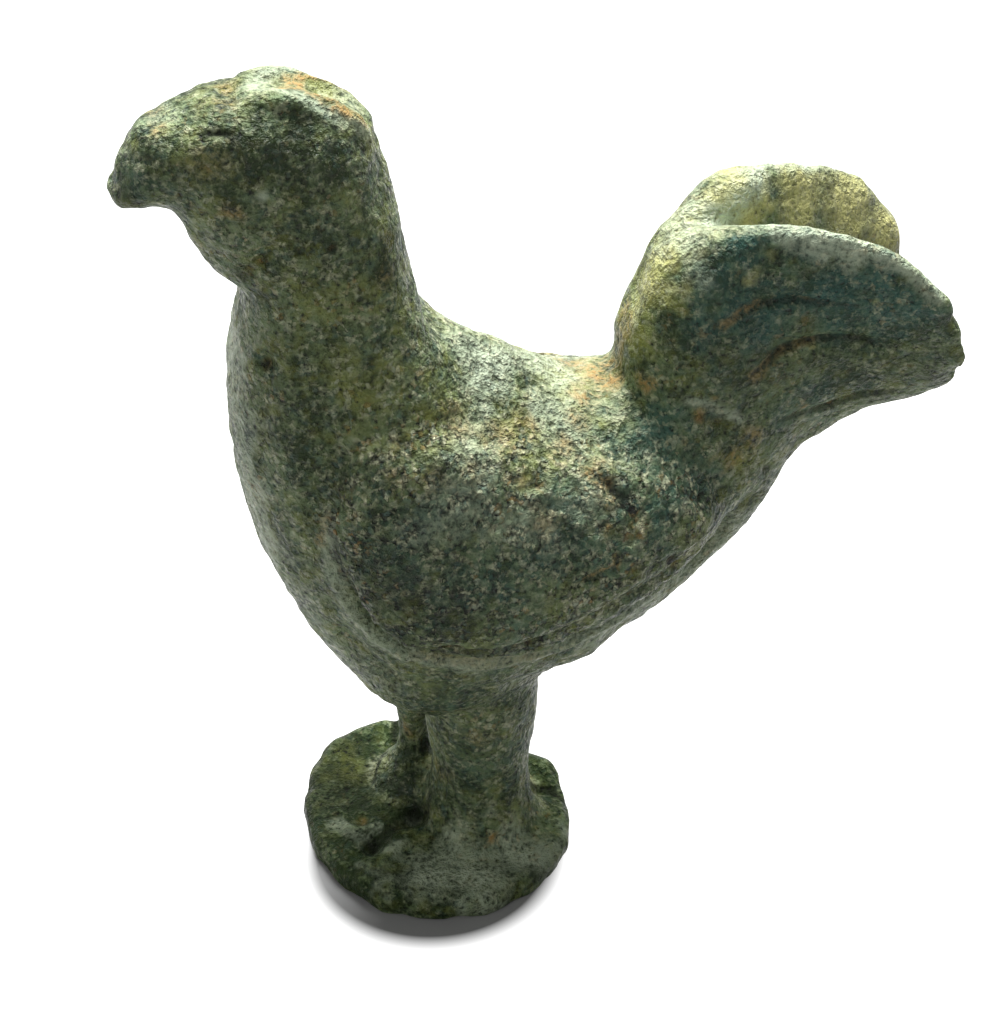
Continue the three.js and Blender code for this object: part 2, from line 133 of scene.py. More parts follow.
def add_camera():
    right, up, ahead = camera_axes()
    data = bpy.data.cameras.new("camera")
    data.sensor_fit = "VERTICAL"
    data.sensor_height = SENSOR_HEIGHT
    data.lens = SENSOR_HEIGHT * FOCAL_PIXELS / PHOTO_HEIGHT
    data.clip_start = CLIP_START
    camera = bpy.data.objects.new("camera", data)
    axes = Matrix((right, up, -ahead)).transposed()
    camera.matrix_world = Matrix.Translation(EYE * MM) @ axes.to_4x4()
    bpy.context.scene.collection.objects.link(camera)
    bpy.context.scene.camera = camera


# Mesh data as arrays

TINY = 1e-12  # keeps a division by nothing away
FAR_AWAY = 1e9


def mesh_points(mesh):
    points = np.zeros(len(mesh.vertices) * 3, np.float32)
    mesh.vertices.foreach_get("co", points)
    return points.reshape(-1, 3).astype(float)


def triangles_of(mesh):
    mesh.calc_loop_triangles()
    corners = np.zeros(len(mesh.loop_triangles) * 3, np.int32)
    mesh.loop_triangles.foreach_get("vertices", corners)
    return corners.reshape(-1, 3)


def new_mesh(name, points, *face_sets):
    """A smooth mesh. Each set of faces is an array with a row of point numbers for each face."""
    sizes = np.concatenate([np.full(len(faces), faces.shape[1]) for faces in face_sets])
    corners = np.concatenate([faces.ravel() for faces in face_sets])
    mesh = bpy.data.meshes.new(name)
    mesh.vertices.add(len(points))
    mesh.vertices.foreach_set("co", points.astype(np.float32).ravel())
    mesh.loops.add(len(corners))
    mesh.loops.foreach_set("vertex_index", corners.astype(np.int32))
    mesh.polygons.add(len(sizes))
    mesh.polygons.foreach_set("loop_start", (np.cumsum(sizes) - sizes).astype(np.int32))
    mesh.polygons.foreach_set("use_smooth", np.ones(len(sizes), bool))
    mesh.update(calc_edges=True)
    return mesh


def vertex_normals(points, triangles):
    a, b, c = (points[triangles[:, k]] for k in range(3))
    across = np.cross(b - a, c - a)
    total = np.zeros_like(points)
    for k in range(3):
        for axis in range(3):
            total[:, axis] += np.bincount(triangles[:, k], across[:, axis], len(points))
    return total / np.maximum(np.linalg.norm(total, axis=1, keepdims=True), TINY)


def welded(points, triangles):
    rounded = np.round(points, WELD_DIGITS)
    _, first, place = np.unique(rounded, axis=0, return_index=True, return_inverse=True)
    return points[first], place.ravel()[triangles]


# The fused skin

LEAST_WAY = 0.3  # where spread normals cancel out to less than this, the skin moves less


class Skin:
    """The figure's surface: quads over points, with normals and neighbours."""

    def __init__(self, points, quads):
        self.points = points
        self.quads = quads
        self.triangles = np.concatenate([quads[:, [0, 1, 2]], quads[:, [0, 2, 3]]])
        ends = np.concatenate([quads[:, [k, (k + 1) % 4]] for k in range(4)])
        self.ends = np.concatenate([ends, ends[:, ::-1]])
        self.degree = np.bincount(self.ends[:, 0], minlength=len(points))
        self.renew()

    def renew(self):
        self.normals = vertex_normals(self.points, self.triangles)

    def mean(self, values):
        """Each point's mean over its neighbours."""
        columns = values.reshape(len(values), -1)
        sums = [np.bincount(self.ends[:, 0], column[self.ends[:, 1]], len(values)) for column in columns.T]
        return (np.stack(sums, 1) / self.degree[:, None]).reshape(values.shape)

    def smoothed(self, values, rounds):
        for _ in range(rounds):
            values = (values + self.mean(values)) / 2
        return values

    def melt(self, rounds):
        """Smooths the surface and keeps its volume."""
        shrink, grow = 0.5, -0.52
        for _ in range(rounds):
            for share in (shrink, grow):
                self.points = self.points + share * (self.mean(self.points) - self.points)
        self.renew()

    def move(self, amount, spread=0):
        """Moves the surface outwards by an amount at each point, along normals that are spread that far."""
        ways = self.smoothed(self.normals, spread)
        ways /= np.maximum(np.linalg.norm(ways, axis=1, keepdims=True), LEAST_WAY)
        self.points = self.points + ways * np.asarray(amount)[:, None]
        self.renew()


def patch_labels(quads, count):
    """A number for each quad, the same for all quads that hang together."""
    label = np.arange(count)
    while True:
        after = label.copy()
        np.minimum.at(after, quads.ravel(), np.repeat(label[quads].min(1), 4))
        after = after[after]
        if (after == label).all():
            return label[quads[:, 0]]
        label = after


def largest_shell(points, quads):
    shell = patch_labels(quads, len(points))
    kept = quads[shell == np.bincount(shell).argmax()]
    used, place = np.unique(kept, return_inverse=True)
    return points[used], place.reshape(-1, 4)


def node_solids():
    """All visible nodes' points and triangles together, and which of PIECES each triangle is from."""
    points, triangles, owners, count = [], [], [], 0
    for owner, name in enumerate(PIECES):
        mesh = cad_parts[name].data
        own_points, own_triangles = welded(mesh_points(mesh) / MM, triangles_of(mesh))
        points.append(own_points)
        triangles.append(own_triangles + count)
        owners.append(np.full(len(own_triangles), owner))
        count += len(own_points)
    return np.concatenate(points), np.concatenate(triangles), np.concatenate(owners)


def fused_skin(points, triangles):
    mesh = new_mesh("solids", points + SWELL * vertex_normals(points, triangles), triangles)
    mesh.validate()
    lump = bpy.data.objects.new("solids", mesh)
    bpy.context.scene.collection.objects.link(lump)
    remesh = lump.modifiers.new("remesh", "REMESH")
    remesh.mode = "VOXEL"
    remesh.voxel_size = VOXEL
    whole = lump.evaluated_get(bpy.context.evaluated_depsgraph_get()).to_mesh()
    corners = np.zeros(len(whole.loops), np.int32)
    whole.loops.foreach_get("vertex_index", corners)
    skin = Skin(*largest_shell(mesh_points(whole), corners.reshape(-1, 4)))
    bpy.data.objects.remove(lump)
    bpy.data.meshes.remove(mesh)
    return skin


# Noise

AXIS_PRIMES = (73856093, 19349663, 83492791)
SEED_PRIME = 2654435761
MIXING_PRIMES = (1274126177, 2246822519)
LOW_BITS = 0xFFFFFFFF


def lattice_value(cells, seed):
    """An even random number from 0 to 1 for each lattice cell."""
    mixed = seed * SEED_PRIME
    for axis, prime in enumerate(AXIS_PRIMES):
        mixed = mixed ^ cells[:, axis] * prime
    mixed = (mixed ^ (mixed >> 13)) & LOW_BITS
    mixed = (mixed * MIXING_PRIMES[0]) & LOW_BITS
    mixed = (mixed ^ (mixed >> 16)) & LOW_BITS
    mixed = (mixed * MIXING_PRIMES[1]) & LOW_BITS
    return (mixed ^ (mixed >> 15)) / LOW_BITS


CORNERS = [np.array([i, j, k]) for i in (0, 1) for j in (0, 1) for k in (0, 1)]
AROUND = [np.array([i, j, k]) for i in (-1, 0, 1) for j in (-1, 0, 1) for k in (-1, 0, 1)]


def lumps(points, size, seed):
    """Smooth noise from -1 to 1 whose lumps are about size wide."""
    tilt = np.array(Matrix.Rotation(seed, 3, Vector((1, 2, 3))))
    spots = points @ tilt / size
    cells = np.floor(spots).astype(np.int64)
    part = spots - cells
    fade = part * part * part * (part * (part * 6 - 15) + 10)
    total = np.zeros(len(points))
    for corner in CORNERS:
        weight = np.prod(np.where(corner == 1, fade, 1 - fade), axis=1)
        total += weight * (lattice_value(cells + corner, seed) * 2 - 1)
    return total


def pits(points, size, share, seed):
    """Round pits from 0 at their rims to 1 in their middles, in a share of the cells of that size.

    Each pit's middle, radius and presence are drawn for its own cell.
    """
    cells = np.floor(points / size).astype(np.int64)
    depth = np.zeros(len(points))
    for step in AROUND:
        cell = cells + step
        centre = [cell[:, axis] + 0.2 + 0.6 * lattice_value(cell, seed + axis) for axis in range(3)]
        distance = np.linalg.norm(points - size * np.stack(centre, 1), axis=1) / size
        radius = 0.25 + 0.3 * lattice_value(cell, seed + 3)
        there = lattice_value(cell, seed + 4) < share
        depth = np.maximum(depth, np.where(there, 1 - distance / radius, 0))
    return depth


def layered(noise, points, layers):
    """The sum of layers of lumps or pits, each a height and the numbers that its noise takes."""
    return sum(height * noise(points, *numbers) for height, *numbers in layers)


def step_between(low, high, values):
    share = np.clip((values - low) / (high - low), 0, 1)
    return share * share * (3 - 2 * share)


# Places on the skin

LINE_REACH = 4  # distances to a line are worked out this far beyond the line's box
LINE_STEPS = 6  # points between two knots of a line


class Places:
    """Finds where pixels of the photograph fall on the skin, and how far each point is from them."""

    def __init__(self, skin):
        self.skin = skin
        self.tree = BVHTree.FromPolygons(skin.points.tolist(), skin.triangles.tolist())
        self.pixels = pixels_of(skin.points)

    def at(self, pixel):
        spot, _, _, _ = self.tree.ray_cast(EYE, pixel_ray(pixel))
        if spot is None:  # just outside the skin's outline, so the outline's nearest point is taken
            spot = self.skin.points[np.linalg.norm(self.pixels - pixel, axis=1).argmin()]
        return np.array(spot)

    def far_twin(self, spot):
        return np.array(self.tree.find_nearest(Vector((spot[0], 2 * MIDDLE - spot[1], spot[2])))[0])

    def both(self, spot):
        """A spot and its twin on the far flank, or the spot alone on the legs and the plate."""
        return (spot, self.far_twin(spot)) if spot[2] > TWIN_FLOOR else (spot,)

    def path(self, pixels):
        """The pixels' places with points between them, all on the skin."""
        knots = np.array([self.at(pixel) for pixel in pixels])
        line = smooth_line(knots)
        return np.array([self.tree.find_nearest(Vector(spot))[0] for spot in line])

    def far_path(self, line):
        return np.array([self.far_twin(spot) for spot in line])

    def both_paths(self, line):
        return (line, self.far_path(line)) if line[:, 2].min() > TWIN_FLOOR else (line,)

    def distance_to(self, line):
        """The distance from each skin point to a dense line, and the place along it from 0 to 1."""
        near = np.full(len(self.skin.points), FAR_AWAY)
        along = np.zeros(len(self.skin.points))
        low, high = line.min(0) - LINE_REACH, line.max(0) + LINE_REACH
        box = ((self.skin.points > low) & (self.skin.points < high)).all(1)
        points = self.skin.points[box]
        best = np.full(len(points), FAR_AWAY)
        place = np.zeros(len(points))
        for index, (start, end) in enumerate(zip(line[:-1], line[1:])):
            way = end - start
            share = np.clip((points - start) @ way / max(way @ way, TINY), 0, 1)
            gap = np.linalg.norm(points - start - share[:, None] * way, axis=1)
            closer = gap < best
            best = np.where(closer, gap, best)
            place = np.where(closer, (index + share) / (len(line) - 1), place)
        near[box] = best
        along[box] = place
        return near, along


def smooth_line(knots):
    """A Catmull-Rom line through the knots."""
    ends = np.vstack([2 * knots[0] - knots[1], knots, 2 * knots[-1] - knots[-2]])
    line = []
    for a, b, c, d in zip(ends[:-3], ends[1:-2], ends[2:-1], ends[3:]):
        for t in np.arange(LINE_STEPS) / LINE_STEPS:
            bend = (2 * a - 5 * b + 4 * c - d) * t**2 + (3 * b - a - 3 * c + d) * t**3
            line.append((2 * b + (c - a) * t + bend) / 2)
    line.append(knots[-1])
    return np.array(line)


# The wings: a raised leaf on each flank, with its edge where the photograph shows it, and the rest of its
# outline where it runs into the back.

WING_EDGE = [
    (352, 462), (334, 523), (342, 571), (373, 619), (405, 643), (443, 651), (491, 651), (539, 641),
    (587, 619), (635, 593), (667, 571), (699, 542),
]
WING_TOP = [(722, 500), (700, 450), (640, 420), (560, 415), (470, 420), (400, 432)]
WING_LIFT = 0.35
WING_SHOULDER = 1.7  # how far from its edge the leaf stands out most
WING_FADE = 3  # over this distance it runs into the back
WING_SPREAD = 3


def inside_outline(spots, outline):
    """Which spots of the picture lie inside an outline."""
    inside = np.zeros(len(spots), bool)
    for (x0, y0), (x1, y1) in zip(outline, outline[1:] + outline[:1]):
        crosses = (y0 > spots[:, 1]) != (y1 > spots[:, 1])
        slope = (x1 - x0) / (y1 - y0) if y1 != y0 else 0
        inside ^= crosses & (spots[:, 0] < x0 + (spots[:, 1] - y0) * slope)
    return inside


def wing_lift(skin, places):
    """How far each point of the wings stands out over the solids."""
    near_edge = places.path(WING_EDGE)
    near_top = places.path(WING_TOP)
    lift = np.zeros(len(skin.points))
    for side in (1, -1):
        points, normals = skin.points.copy(), skin.normals.copy()
        points[:, 1] = MIDDLE + side * (points[:, 1] - MIDDLE)
        normals[:, 1] *= side
        faces_eye = (normals * (np.array(EYE) - points)).sum(1) > 0
        own = inside_outline(pixels_of(points), WING_EDGE + WING_TOP) & faces_eye & (points[:, 1] < MIDDLE)
        edge = near_edge if side == 1 else places.far_path(near_edge)
        top = near_top if side == 1 else places.far_path(near_top)
        reach = places.distance_to(edge)[0] / WING_SHOULDER
        fade = step_between(0, WING_FADE, places.distance_to(top)[0])
        lift += np.where(own, fade * reach * np.exp(1 - reach), 0)
    return WING_LIFT * skin.smoothed(lift, WING_SPREAD)


# Carving

# Lines that are both carved and stained, as pixels of the photograph.
WING_RIM = [
    (330, 516), (331, 571), (362, 625), (399, 652), (443, 663), (493, 663), (543, 653), (592, 631),
    (641, 605), (674, 583), (704, 556),
]
WING_DIAGONAL = [(583, 471), (611, 489), (633, 514)]
WING_SCRATCH = [(585, 578), (617, 562)]
EYE_SLIT = [(202, 136), (221, 134), (237, 137)]
TAIL_TOP_GROOVE = [(723, 326), (743, 311), (761, 303), (789, 300), (820, 302), (858, 306)]
TAIL_MIDDLE_GROOVE = [
    (753, 374), (780, 351), (794, 344), (814, 339), (848, 337), (870, 341), (891, 351),
]
TAIL_LOW_GROOVE = [(779, 420), (802, 413), (830, 405), (860, 396), (891, 391)]
PLATE_FOLD = [(338, 822), (358, 834), (378, 826)]
SHANK_FRONT = [(396, 722), (385, 752), (373, 782)]
SHANK_BACK = [(531, 783), (548, 790), (566, 802)]

# What is carved: a line's pixels, half width and depth, below zero for a ridge.
CARVED_LINES = {
    "wing_edge_front": (WING_EDGE[:8], 0.5, 0.36),
    "wing_edge_below": (WING_EDGE[6:], 0.6, 0.16),
    "wing_rim": (WING_RIM, 0.5, -0.34),
    "hollow_round_rim": (
        [(312, 520), (314, 580), (346, 640), (384, 674), (430, 690), (500, 690), (556, 676), (610, 650)],
        0.9,
        0.28,
    ),
    "wing_diagonal": (WING_DIAGONAL, 0.38, 0.2),
    "wing_scratch": (WING_SCRATCH, 0.25, 0.15),
    "rump_groove": ([(690, 398), (715, 420), (735, 452)], 0.6, 0.3),
    "rump_fold": ([(668, 408), (700, 430), (716, 462)], 0.6, -0.2),
    "eye_slit": (EYE_SLIT, 0.22, 0.2),
    "belly_rear": ([(765, 488), (738, 528), (700, 570), (660, 598)], 1.5, 1.3),
    "tail_lower_edge": ([(800, 442), (830, 428), (862, 410)], 0.8, -0.4),
    "comb_side": ([(258, 92), (287, 99), (310, 112), (339, 126), (366, 142)], 0.5, -0.15),
    "brow": ([(256, 106), (285, 105), (312, 116), (338, 134)], 0.55, -0.3),
    "throat": ([(237, 279), (260, 262), (286, 246)], 0.5, 0.35),
    "breast": ([(295, 340), (288, 430), (300, 520), (325, 590)], 1.1, -0.22),
    "tail_top_groove": (TAIL_TOP_GROOVE, 0.28, 0.2),
    "tail_middle_groove": (TAIL_MIDDLE_GROOVE, 0.27, 0.3),
    "tail_ridge": ([(762, 390), (800, 362), (850, 356), (890, 366)], 0.7, -0.2),
    "tail_low_groove": (TAIL_LOW_GROOVE, 0.3, 0.25),
    "plate_crevice": ([(428, 808), (404, 822), (380, 838), (364, 856)], 0.5, 0.25),
    "crevice_lip": ([(426, 826), (404, 842), (388, 856), (370, 866)], 0.6, -0.2),
    "plate_fold": (PLATE_FOLD, 0.4, -0.35),
    "plate_upper_fold": ([(330, 806), (350, 816), (372, 810)], 0.35, -0.25),
    "plate_nick": ([(346, 812), (366, 822)], 0.3, 0.2),
    "plate_front": ([(380, 884), (430, 898), (490, 898), (540, 870)], 0.6, -0.15),
    "shank_front": (SHANK_FRONT, 0.35, 0.3),
    "shank_back": (SHANK_BACK, 0.4, 0.35),
    "leg_gap": ([(424, 733), (424, 757)], 0.3, 0.3),
}

# Single hollows and swellings, above TWIN_FLOOR on both flanks: pixel, radius, depth, below zero for a
# swelling.
CARVED_SPOTS = {
    "chest_pit": ((267, 364), 0.55, 0.5),
    "cheek_hole_front": ((300, 253), 0.25, 0.25),
    "cheek_hole_rear": ((333, 249), 0.25, 0.25),
    "brow_dent": ((224, 88), 0.6, 0.35),
    "tail_root_pit": ((767, 469), 0.5, 0.3),
    "flank_pit": ((670, 560), 0.4, 0.35),
    "wing_tip_pit": ((699, 496), 0.35, 0.35),
    "beak_dent": ((160, 128), 0.6, 0.25),
    "plate_rear_left": ((330, 752), 1.2, -0.4),
    "plate_rear": ((366, 728), 1.2, -0.4),
    "far_foot": ((396, 722), 1.0, -0.3),
    "near_foot": ((550, 765), 1.4, -0.6),
    "back_front": ((455, 338), 1.6, -0.35),
    "back_middle": ((490, 348), 1.6, -0.2),
    "beak_tip": ((113, 190), 0.45, -0.15),
    "beak_hook": ((119, 201), 0.5, -0.15),
    "beak_ridge": ((122, 163), 0.9, -0.13),
    "beak_root": ((148, 124), 1.3, -0.4),
    "throat_front": ((190, 236), 1.3, -0.3),
    "wattle": ((214, 264), 1.1, -0.3),
    "crevice_end": ((414, 816), 0.8, 0.5),
    "crevice_front": ((372, 848), 0.7, 0.45),
}

# The same, but only where their pixels show them.
LONE_SPOTS = {
    "tail_end_notch": ((956, 322), 0.5, 0.6),
    "tail_end_upper": ((972, 342), 0.9, 0.4),
    "tail_end_lower": ((962, 374), 1.0, 0.6),
    "tail_end_below": ((935, 392), 1.4, 0.3),
    "tail_end_above": ((946, 302), 0.8, -0.15),
    "far_lobe_rear": ((868, 190), 1.9, -0.3),
    "far_lobe_end": ((891, 222), 1.5, -0.65),
    "far_lobe_front": ((714, 194), 1.4, -0.6),
    "far_lobe_top_front": ((742, 182), 1.6, -0.75),
    "far_lobe_top": ((766, 172), 0.8, -0.25),
    "far_lobe_top_rear": ((790, 172), 1.0, -0.35),
    "tail_front": ((632, 285), 1.5, 0.35),
    "neck_foot": ((430, 308), 1.5, 0.6),
    "nape": ((388, 190), 1.9, 0.4),
    "belly_behind_leg": ((583, 650), 1.5, -0.5),
    "back_rise": ((490, 356), 1.8, -0.6),
    "back_rise_rear": ((530, 360), 1.5, -0.4),
    "crown_front": ((272, 70), 1.2, 0.25),
    "brow_front": ((226, 82), 0.8, 0.15),
    "crown_middle": ((324, 88), 1.0, 0.35),
    "crown_end": ((368, 120), 1.0, -0.35),
}
WOBBLE = [(0.35, 1.5, 31)]  # makes carved lines uneven: height, lump size, seed
LINE_ENDS = (0.02, 0.98)  # the fade along a carved line stops here, so its ends keep some depth


def soften_seams(skin, votes):
    """Rounds the creases where two pieces meet, as corrosion has."""
    mixed = skin.smoothed(4 * votes.max(1) * (1 - votes.max(1)), SEAM_SPREAD)
    kept = sum(votes[:, list(PIECES).index(name)] * share for name, share in CREASES_KEPT.items())
    share = (0.5 * step_between(0.01, 0.25, mixed) * (1 - kept))[:, None]
    for _ in range(SEAM_ROUNDS):
        skin.points = skin.points + share * (skin.mean(skin.points) - skin.points)
    skin.renew()


def carve(skin):
    places = Places(skin)
    depth = -wing_lift(skin, places)
    wobble = 1 + layered(lumps, skin.points, WOBBLE)
    for pixels, half_width, deep in CARVED_LINES.values():
        for line in places.both_paths(places.path(pixels)):
            near, along = places.distance_to(line)
            fade = np.sqrt(np.sin(np.pi * np.clip(along, *LINE_ENDS)))
            depth += deep * fade * wobble * np.exp(-((near / half_width) ** 2))
    for spots, lone in ((CARVED_SPOTS, False), (LONE_SPOTS, True)):
        for pixel, radius, deep in spots.values():
            spot = places.at(pixel)
            for middle in (spot,) if lone else places.both(spot):
                near = np.linalg.norm(skin.points - middle, axis=1)
                depth += deep * np.exp(-((near / radius) ** 2))
    skin.move(-depth, CARVE_SPREAD)
    skin.melt(CARVE_MELT)


# The cast and corroded surface

# Layers of lumps: height, size and seed.
GRAIN_PATCHES = [(0.3, 4, 4)]  # these vary the grain, as a share of it
PLATE_WRINKLES = [(0.12, 1.5, 9), (0.08, 0.9, 10)]
COARSE_LUMPS = [(0.12, 6, 1), (0.08, 2.8, 2), (0.05, 1.3, 3)]
FINE_LUMPS = [(0.0765, 0.75, 5), (0.085, 0.45, 6)]
# Layers of pits: depth, size, the share of places that hold a pit, and seed.
PITS = [(0.084, 1.6, 0.25, 7), (0.098, 0.8, 0.4, 17)]


def grain_of(skin, votes):
    """How coarse the surface is at each point, from 0 to 1."""
    coarse = votes @ np.array([GRAIN[name] for name in PIECES])
    patchy = 1 + layered(lumps, skin.points, GRAIN_PATCHES)
    return skin.smoothed(np.clip(coarse * patchy, 0, 1), GRAIN_SPREAD)


def roughen(skin, grain, plate):
    """Corrodes the surface, most where it is coarse, and leaves the plate's top uneven."""
    points = skin.points
    rise = layered(lumps, points, COARSE_LUMPS) + plate * layered(lumps, points, PLATE_WRINKLES)
    rise += grain * (layered(lumps, points, FINE_LUMPS) - layered(pits, points, PITS))
    skin.move(rise, ROUGH_SPREAD)
    skin.points[:, 2] = np.maximum(skin.points[:, 2], 0)  # the underside is flat
    skin.renew()


# Painted zones. A spot is its pixel, radius and strength. A line is its pixels, half width and strength.

STAIN_SPOTS = {
    "orange": [
        ((225, 88), 0.6, 0.5), ((158, 128), 0.5, 0.8), ((210, 160), 1.2, 0.3), ((234, 212), 0.5, 0.8),
        ((267, 364), 0.4, 0.9), ((608, 382), 1.2, 1), ((645, 384), 0.7, 1), ((576, 417), 0.8, 0.7),
        ((608, 528), 0.35, 0.8), ((492, 838), 0.35, 1), ((699, 416), 0.5, 0.8), ((733, 456), 0.6, 0.7),
        ((400, 450), 1.0, 0.35), ((500, 440), 1.2, 0.5), ((455, 428), 1.0, 0.5), ((530, 428), 0.8, 0.6),
        ((470, 470), 0.9, 0.4), ((520, 480), 0.8, 0.4), ((565, 445), 0.9, 0.6), ((600, 465), 0.8, 0.5),
        ((545, 525), 0.7, 0.35), ((610, 500), 0.8, 0.5), ((430, 480), 0.7, 0.35), ((588, 398), 1.0, 0.9),
        ((395, 475), 0.8, 0.4), ((640, 530), 0.7, 0.4), ((750, 440), 0.6, 0.6), ((803, 407), 0.3, 0.8),
        ((478, 740), 0.8, 0.3), ((440, 770), 0.6, 0.3), ((388, 240), 0.6, 0.4), ((386, 275), 0.7, 0.4),
    ],
    "teal": [
        ((760, 320), 3.0, 0.8), ((830, 290), 3.2, 0.9), ((900, 310), 2.6, 0.9), ((820, 240), 2.2, 0.9),
        ((716, 275), 1.5, 0.8), ((705, 325), 1.6, 0.7), ((742, 245), 1.5, 0.8), ((420, 520), 2.4, 0.5),
        ((560, 505), 2.4, 0.6), ((600, 560), 2.4, 0.6), ((665, 520), 2.0, 0.8), ((480, 585), 2.6, 0.5),
        ((520, 625), 2.2, 0.5), ((690, 470), 2.0, 0.7), ((880, 265), 2.0, 0.9), ((800, 400), 2.0, 0.5),
        ((650, 440), 2.6, 0.9), ((680, 480), 2.4, 0.8), ((620, 500), 2.2, 0.6), ((540, 560), 2.5, 0.5),
        ((450, 700), 2.4, 0.35), ((485, 760), 2.0, 0.35), ((130, 180), 1.2, 0.5), ((300, 95), 0.9, 0.6),
        ((470, 500), 2.2, 0.4), ((400, 560), 2.2, 0.4), ((240, 450), 1.5, 0.4),
    ],
    "yellow": [
        ((646, 295), 1.5, 0.9), ((682, 226), 1.2, 0.9), ((664, 258), 1.2, 0.9), ((635, 335), 1.1, 0.8),
        ((370, 130), 0.8, 0.8), ((310, 84), 0.9, 0.7), ((560, 375), 2.4, 0.8), ((340, 300), 1.8, 0.4),
        ((370, 380), 1.8, 0.5), ((440, 430), 2.0, 0.6), ((530, 450), 2.0, 0.6), ((690, 540), 1.6, 0.4),
        ((430, 690), 1.6, 0.3), ((740, 460), 1.2, 0.7), ((350, 770), 1.6, 0.5), ((480, 640), 1.4, 0.4),
        ((560, 610), 1.6, 0.4),
    ],
    # olive: partly yellow-olive patina, partly painted light on the tail's front and inner faces, which
    # face the lamp
    "olive_and_lit": [
        ((745, 195), 2.2, 1), ((800, 195), 2.4, 1), ((845, 205), 2.8, 1), ((882, 232), 2.0, 1),
        ((648, 285), 1.5, 0.7), ((684, 224), 1.3, 0.6), ((666, 252), 1.3, 0.7), ((565, 372), 1.4, 0.5),
    ],
    # pale: mostly painted highlights on the back, the crown, the tail's front and the plate's front, with
    # some worn pale patina
    "pale_and_highlit": [
        ((560, 410), 2.4, 0.4), ((490, 370), 2.0, 0.9), ((470, 450), 2.2, 0.4), ((560, 380), 1.5, 0.7),
        ((470, 505), 2.2, 0.4), ((525, 520), 2.0, 0.35), ((435, 530), 1.3, 0.3), ((590, 500), 1.5, 0.3),
        ((600, 640), 1.8, 0.6), ((475, 874), 3.0, 1), ((430, 872), 2.4, 1), ((520, 856), 2.2, 0.9),
        ((530, 360), 1.5, 0.8), ((465, 348), 1.3, 0.7), ((690, 230), 2.0, 0.6), ((158, 112), 0.6, 0.4),
        ((263, 197), 0.35, 0.9),
    ],
    # dark: partly dark patina, as at the beak's tip, and partly painted shade in the crevice between the
    # feet, the leg gap, the pits, under the wing and on the plate's rear
    "dark": [
        ((325, 785), 4.2, 0.75), ((345, 825), 2.5, 0.4), ((240, 275), 0.8, 0.6), ((395, 590), 3.0, 0.45),
        ((424, 745), 0.45, 0.9), ((350, 748), 2.4, 0.6), ((375, 765), 1.6, 0.5), ((450, 610), 2.6, 0.3),
        ((400, 800), 1.2, 0.4), ((740, 360), 3.5, 0.2), ((930, 370), 2.0, 0.2), ((300, 150), 2.2, 0.2),
        ((225, 118), 1.0, 0.3), ((413, 816), 0.9, 1), ((372, 848), 0.8, 1), ((120, 192), 0.6, 0.6),
        ((670, 560), 0.4, 1), ((699, 496), 0.35, 1), ((267, 364), 0.3, 0.8), ((300, 253), 0.2, 0.9),
        ((333, 249), 0.2, 0.9), ((767, 469), 0.4, 0.9), ((948, 318), 0.4, 0.7),
    ],
}

STAIN_LINES = {
    "orange": [
        ([(289, 80), (317, 95), (349, 112)], 0.35, 1),
        ([(349, 112), (366, 124)], 0.3, 0.6),
        ([(319, 543), (324, 528), (330, 513)], 0.25, 0.5),
        ([(586, 472), (606, 484)], 0.4, 0.8),
        (WING_SCRATCH, 0.2, 0.7),
        (TAIL_TOP_GROOVE[:3], 0.3, 0.55),
        ([(404, 724), (410, 736)], 0.3, 0.6),
        ([(753, 374), (780, 351), (812, 340)], 0.3, 0.5),
        ([(420, 655), (480, 662), (540, 656)], 0.35, 0.25),
        ([(618, 362), (622, 340), (630, 320)], 0.5, 0.5),
    ],
    # pale lines: painted reflections of the floor along the breast and under the belly, and painted
    # highlights along the crown, the tail's top edge and the wing's rim
    "pale_and_highlit": [
        ([(232, 330), (236, 400), (246, 470), (268, 540)], 1.0, 0.8),
        ([(300, 590), (340, 650), (390, 690)], 0.9, 0.25),
        (WING_RIM[:9], 0.45, 0.55),
        ([(715, 218), (790, 227), (860, 250)], 0.9, 1),
        ([(850, 246), (900, 267), (940, 296)], 0.5, 0.8),
        ([(255, 88), (290, 92), (320, 106), (368, 134)], 0.4, 0.6),
        (PLATE_FOLD, 0.35, 0.4),
        ([(690, 400), (715, 408), (740, 420)], 0.3, 0.7),
        ([(590, 640), (650, 600), (700, 565), (740, 520)], 0.9, 0.5),
    ],
    # dark lines: painted shade in the crevice, the eye slit, the tail's grooves, the shank creases and
    # under the wing's edge
    "dark": [
        ([(428, 808), (410, 820), (386, 836), (366, 854)], 0.5, 0.75),
        (EYE_SLIT, 0.22, 0.8),
        (TAIL_MIDDLE_GROOVE[:6], 0.2, 0.6),
        (TAIL_LOW_GROOVE, 0.18, 0.6),
        (TAIL_TOP_GROOVE[2:], 0.15, 0.6),
        (WING_DIAGONAL[1:], 0.25, 0.8),
        (SHANK_FRONT, 0.25, 0.9),
        (SHANK_BACK, 0.25, 0.8),
        (WING_EDGE[1:8], 0.45, 0.5),
    ],
}
LONE_ZONES = ("olive_and_lit",)  # painted only where their pixels show them

